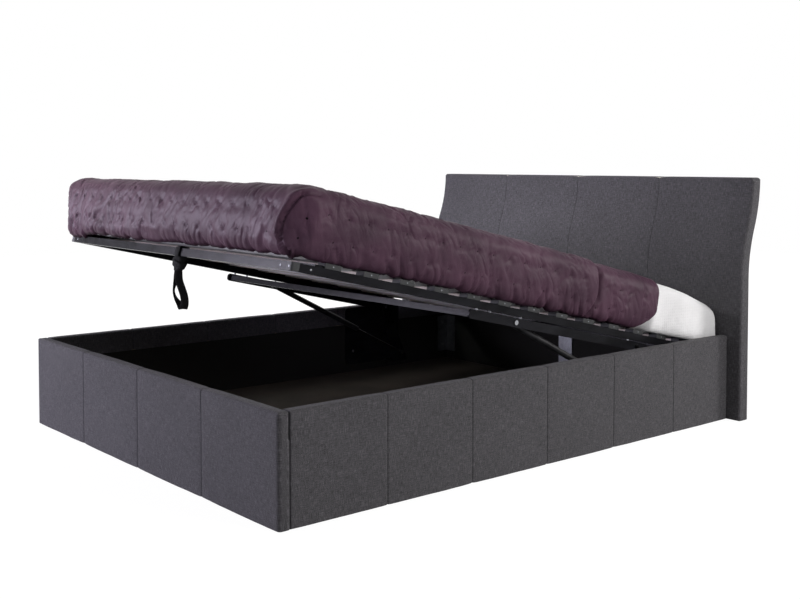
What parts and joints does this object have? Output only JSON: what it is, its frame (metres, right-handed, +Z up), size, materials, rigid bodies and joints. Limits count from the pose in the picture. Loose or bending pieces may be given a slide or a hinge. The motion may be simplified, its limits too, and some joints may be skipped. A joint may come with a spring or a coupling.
{
  "type": "ottoman storage bed",
  "caption": "Upholstered bed with a hinged slatted frame that lifts on gas struts over an open storage well, leaning headboard, mattress and quilt.",
  "frame": {"origin": "middle of the bed's bounding box, on the ground", "axes": "+Y from the foot to the head, +X to the right seen from the foot, +Z up"},
  "size_m": [1.736, 2.1649, 0.9285],
  "materials": {
    "grey_linen": "woven linen upholstery",
    "board_wood": "raw board",
    "foam_fabric": "foam padding",
    "black_lining": "dark lining cloth",
    "floor_board": "thin fibre board",
    "zinc_steel": "zinc plated steel",
    "dark_steel": "satin powder coat",
    "black_plastic": "moulded plastic",
    "birch": "clear lacquered veneer",
    "bright_steel": "polished steel",
    "black_gloss": "gloss black paint",
    "black_webbing": "woven webbing",
    "white_ticking": "white mattress cover",
    "purple_quilt": "satin quilted cloth"
  },
  "bodies": {
    "bed_base": {"headboard_board": "board_wood", "headboard_foam": "foam_fabric", "headboard_cover": "grey_linen", "foot_panel_board": "board_wood", "foot_panel_cover": "grey_linen", "side_panel_board_left": "board_wood", "side_panel_board_right": "board_wood", "side_panel_cover_left": "grey_linen", "side_panel_cover_right": "grey_linen", "well_lining": "black_lining", "floor_panel_left": "floor_board", "floor_panel_right": "floor_board", "floor_battens": "board_wood", "corner_brackets": "zinc_steel", "panel_bolts": "zinc_steel", "hinge_bracket_left": "dark_steel", "hinge_bracket_right": "dark_steel", "hinge_bracket_screws": "zinc_steel", "pivot_bolts": "bright_steel", "head_centre_plate": "zinc_steel", "strut_studs_lower": "bright_steel"},
    "lift_frame": {"lift_foot_tube": "dark_steel", "lift_head_tube": "dark_steel", "lift_side_tube_left": "dark_steel", "lift_side_tube_right": "dark_steel", "corner_connector_foot_left": "black_plastic", "corner_connector_foot_right": "black_plastic", "corner_connector_head_left": "black_plastic", "corner_connector_head_right": "black_plastic", "frame_screws": "zinc_steel", "lift_arm_left": "dark_steel", "lift_arm_right": "dark_steel", "arm_cross_tube": "dark_steel", "arm_spacers": "zinc_steel", "foot_cross_bar": "dark_steel", "slat_01": "birch", "slat_02": "birch", "slat_03": "birch", "slat_04": "birch", "slat_05": "birch", "slat_06": "birch", "slat_07": "birch", "slat_08": "birch", "slat_09": "birch", "slat_10": "birch", "slat_11": "birch", "slat_12": "birch", "slat_13": "birch", "slat_holders_left": "black_plastic", "slat_holders_right": "black_plastic", "holder_rivets": "zinc_steel", "strut_studs_upper": "bright_steel", "strap_hitch": "black_webbing", "mattress": "white_ticking", "quilt": "purple_quilt"},
    "strut_cylinder_left": {"strut_cylinder_left": "black_gloss"},
    "strut_cylinder_right": {"strut_cylinder_right": "black_gloss"},
    "strut_rod_left": {"strut_rod_left": "bright_steel"},
    "strut_rod_right": {"strut_rod_right": "bright_steel"},
    "pull_strap": {"pull_strap": "black_webbing"}
  },
  "joints": [
    {"name": "frame_lift", "type": "hinge", "parent": "bed_base", "child": "lift_frame", "pos_m": [0, 0.5165, 0.314], "axis": [-1, 0, 0], "range_deg": [-13.1, 26.9]},
    {"name": "strut_top_right", "type": "hinge", "parent": "lift_frame", "child": "strut_cylinder_right", "pos_m": [0.694, -0.1049, 0.4586], "axis": [-1, 0, 0], "range_deg": [-6.5, 3.5]},
    {"name": "strut_foot_right", "type": "hinge", "parent": "bed_base", "child": "strut_rod_right", "pos_m": [0.694, 0.6015, 0.099], "axis": [-1, 0, 0], "range_deg": [-10.5, 21]},
    {"name": "strut_top_left", "type": "hinge", "parent": "lift_frame", "child": "strut_cylinder_left", "pos_m": [-0.694, -0.1049, 0.4586], "axis": [-1, 0, 0], "range_deg": [-6.5, 3.5]},
    {"name": "strut_foot_left", "type": "hinge", "parent": "bed_base", "child": "strut_rod_left", "pos_m": [-0.694, 0.6015, 0.099], "axis": [-1, 0, 0], "range_deg": [-10.5, 21]},
    {"name": "strap_swing", "type": "hinge", "parent": "lift_frame", "child": "pull_strap", "pos_m": [0.088, -0.97929, 0.63888], "axis": [-1, 0, 0], "range_deg": [-27, 13.2]}
  ],
  "couplings": [
    {"joint": "strut_top_right", "follows": "frame_lift", "ratio": -0.23},
    {"joint": "strut_foot_right", "follows": "frame_lift", "ratio": 0.77},
    {"joint": "strut_top_left", "follows": "frame_lift", "ratio": -0.23},
    {"joint": "strut_foot_left", "follows": "frame_lift", "ratio": 0.77},
    {"joint": "strap_swing", "follows": "frame_lift", "ratio": -1}
  ]
}
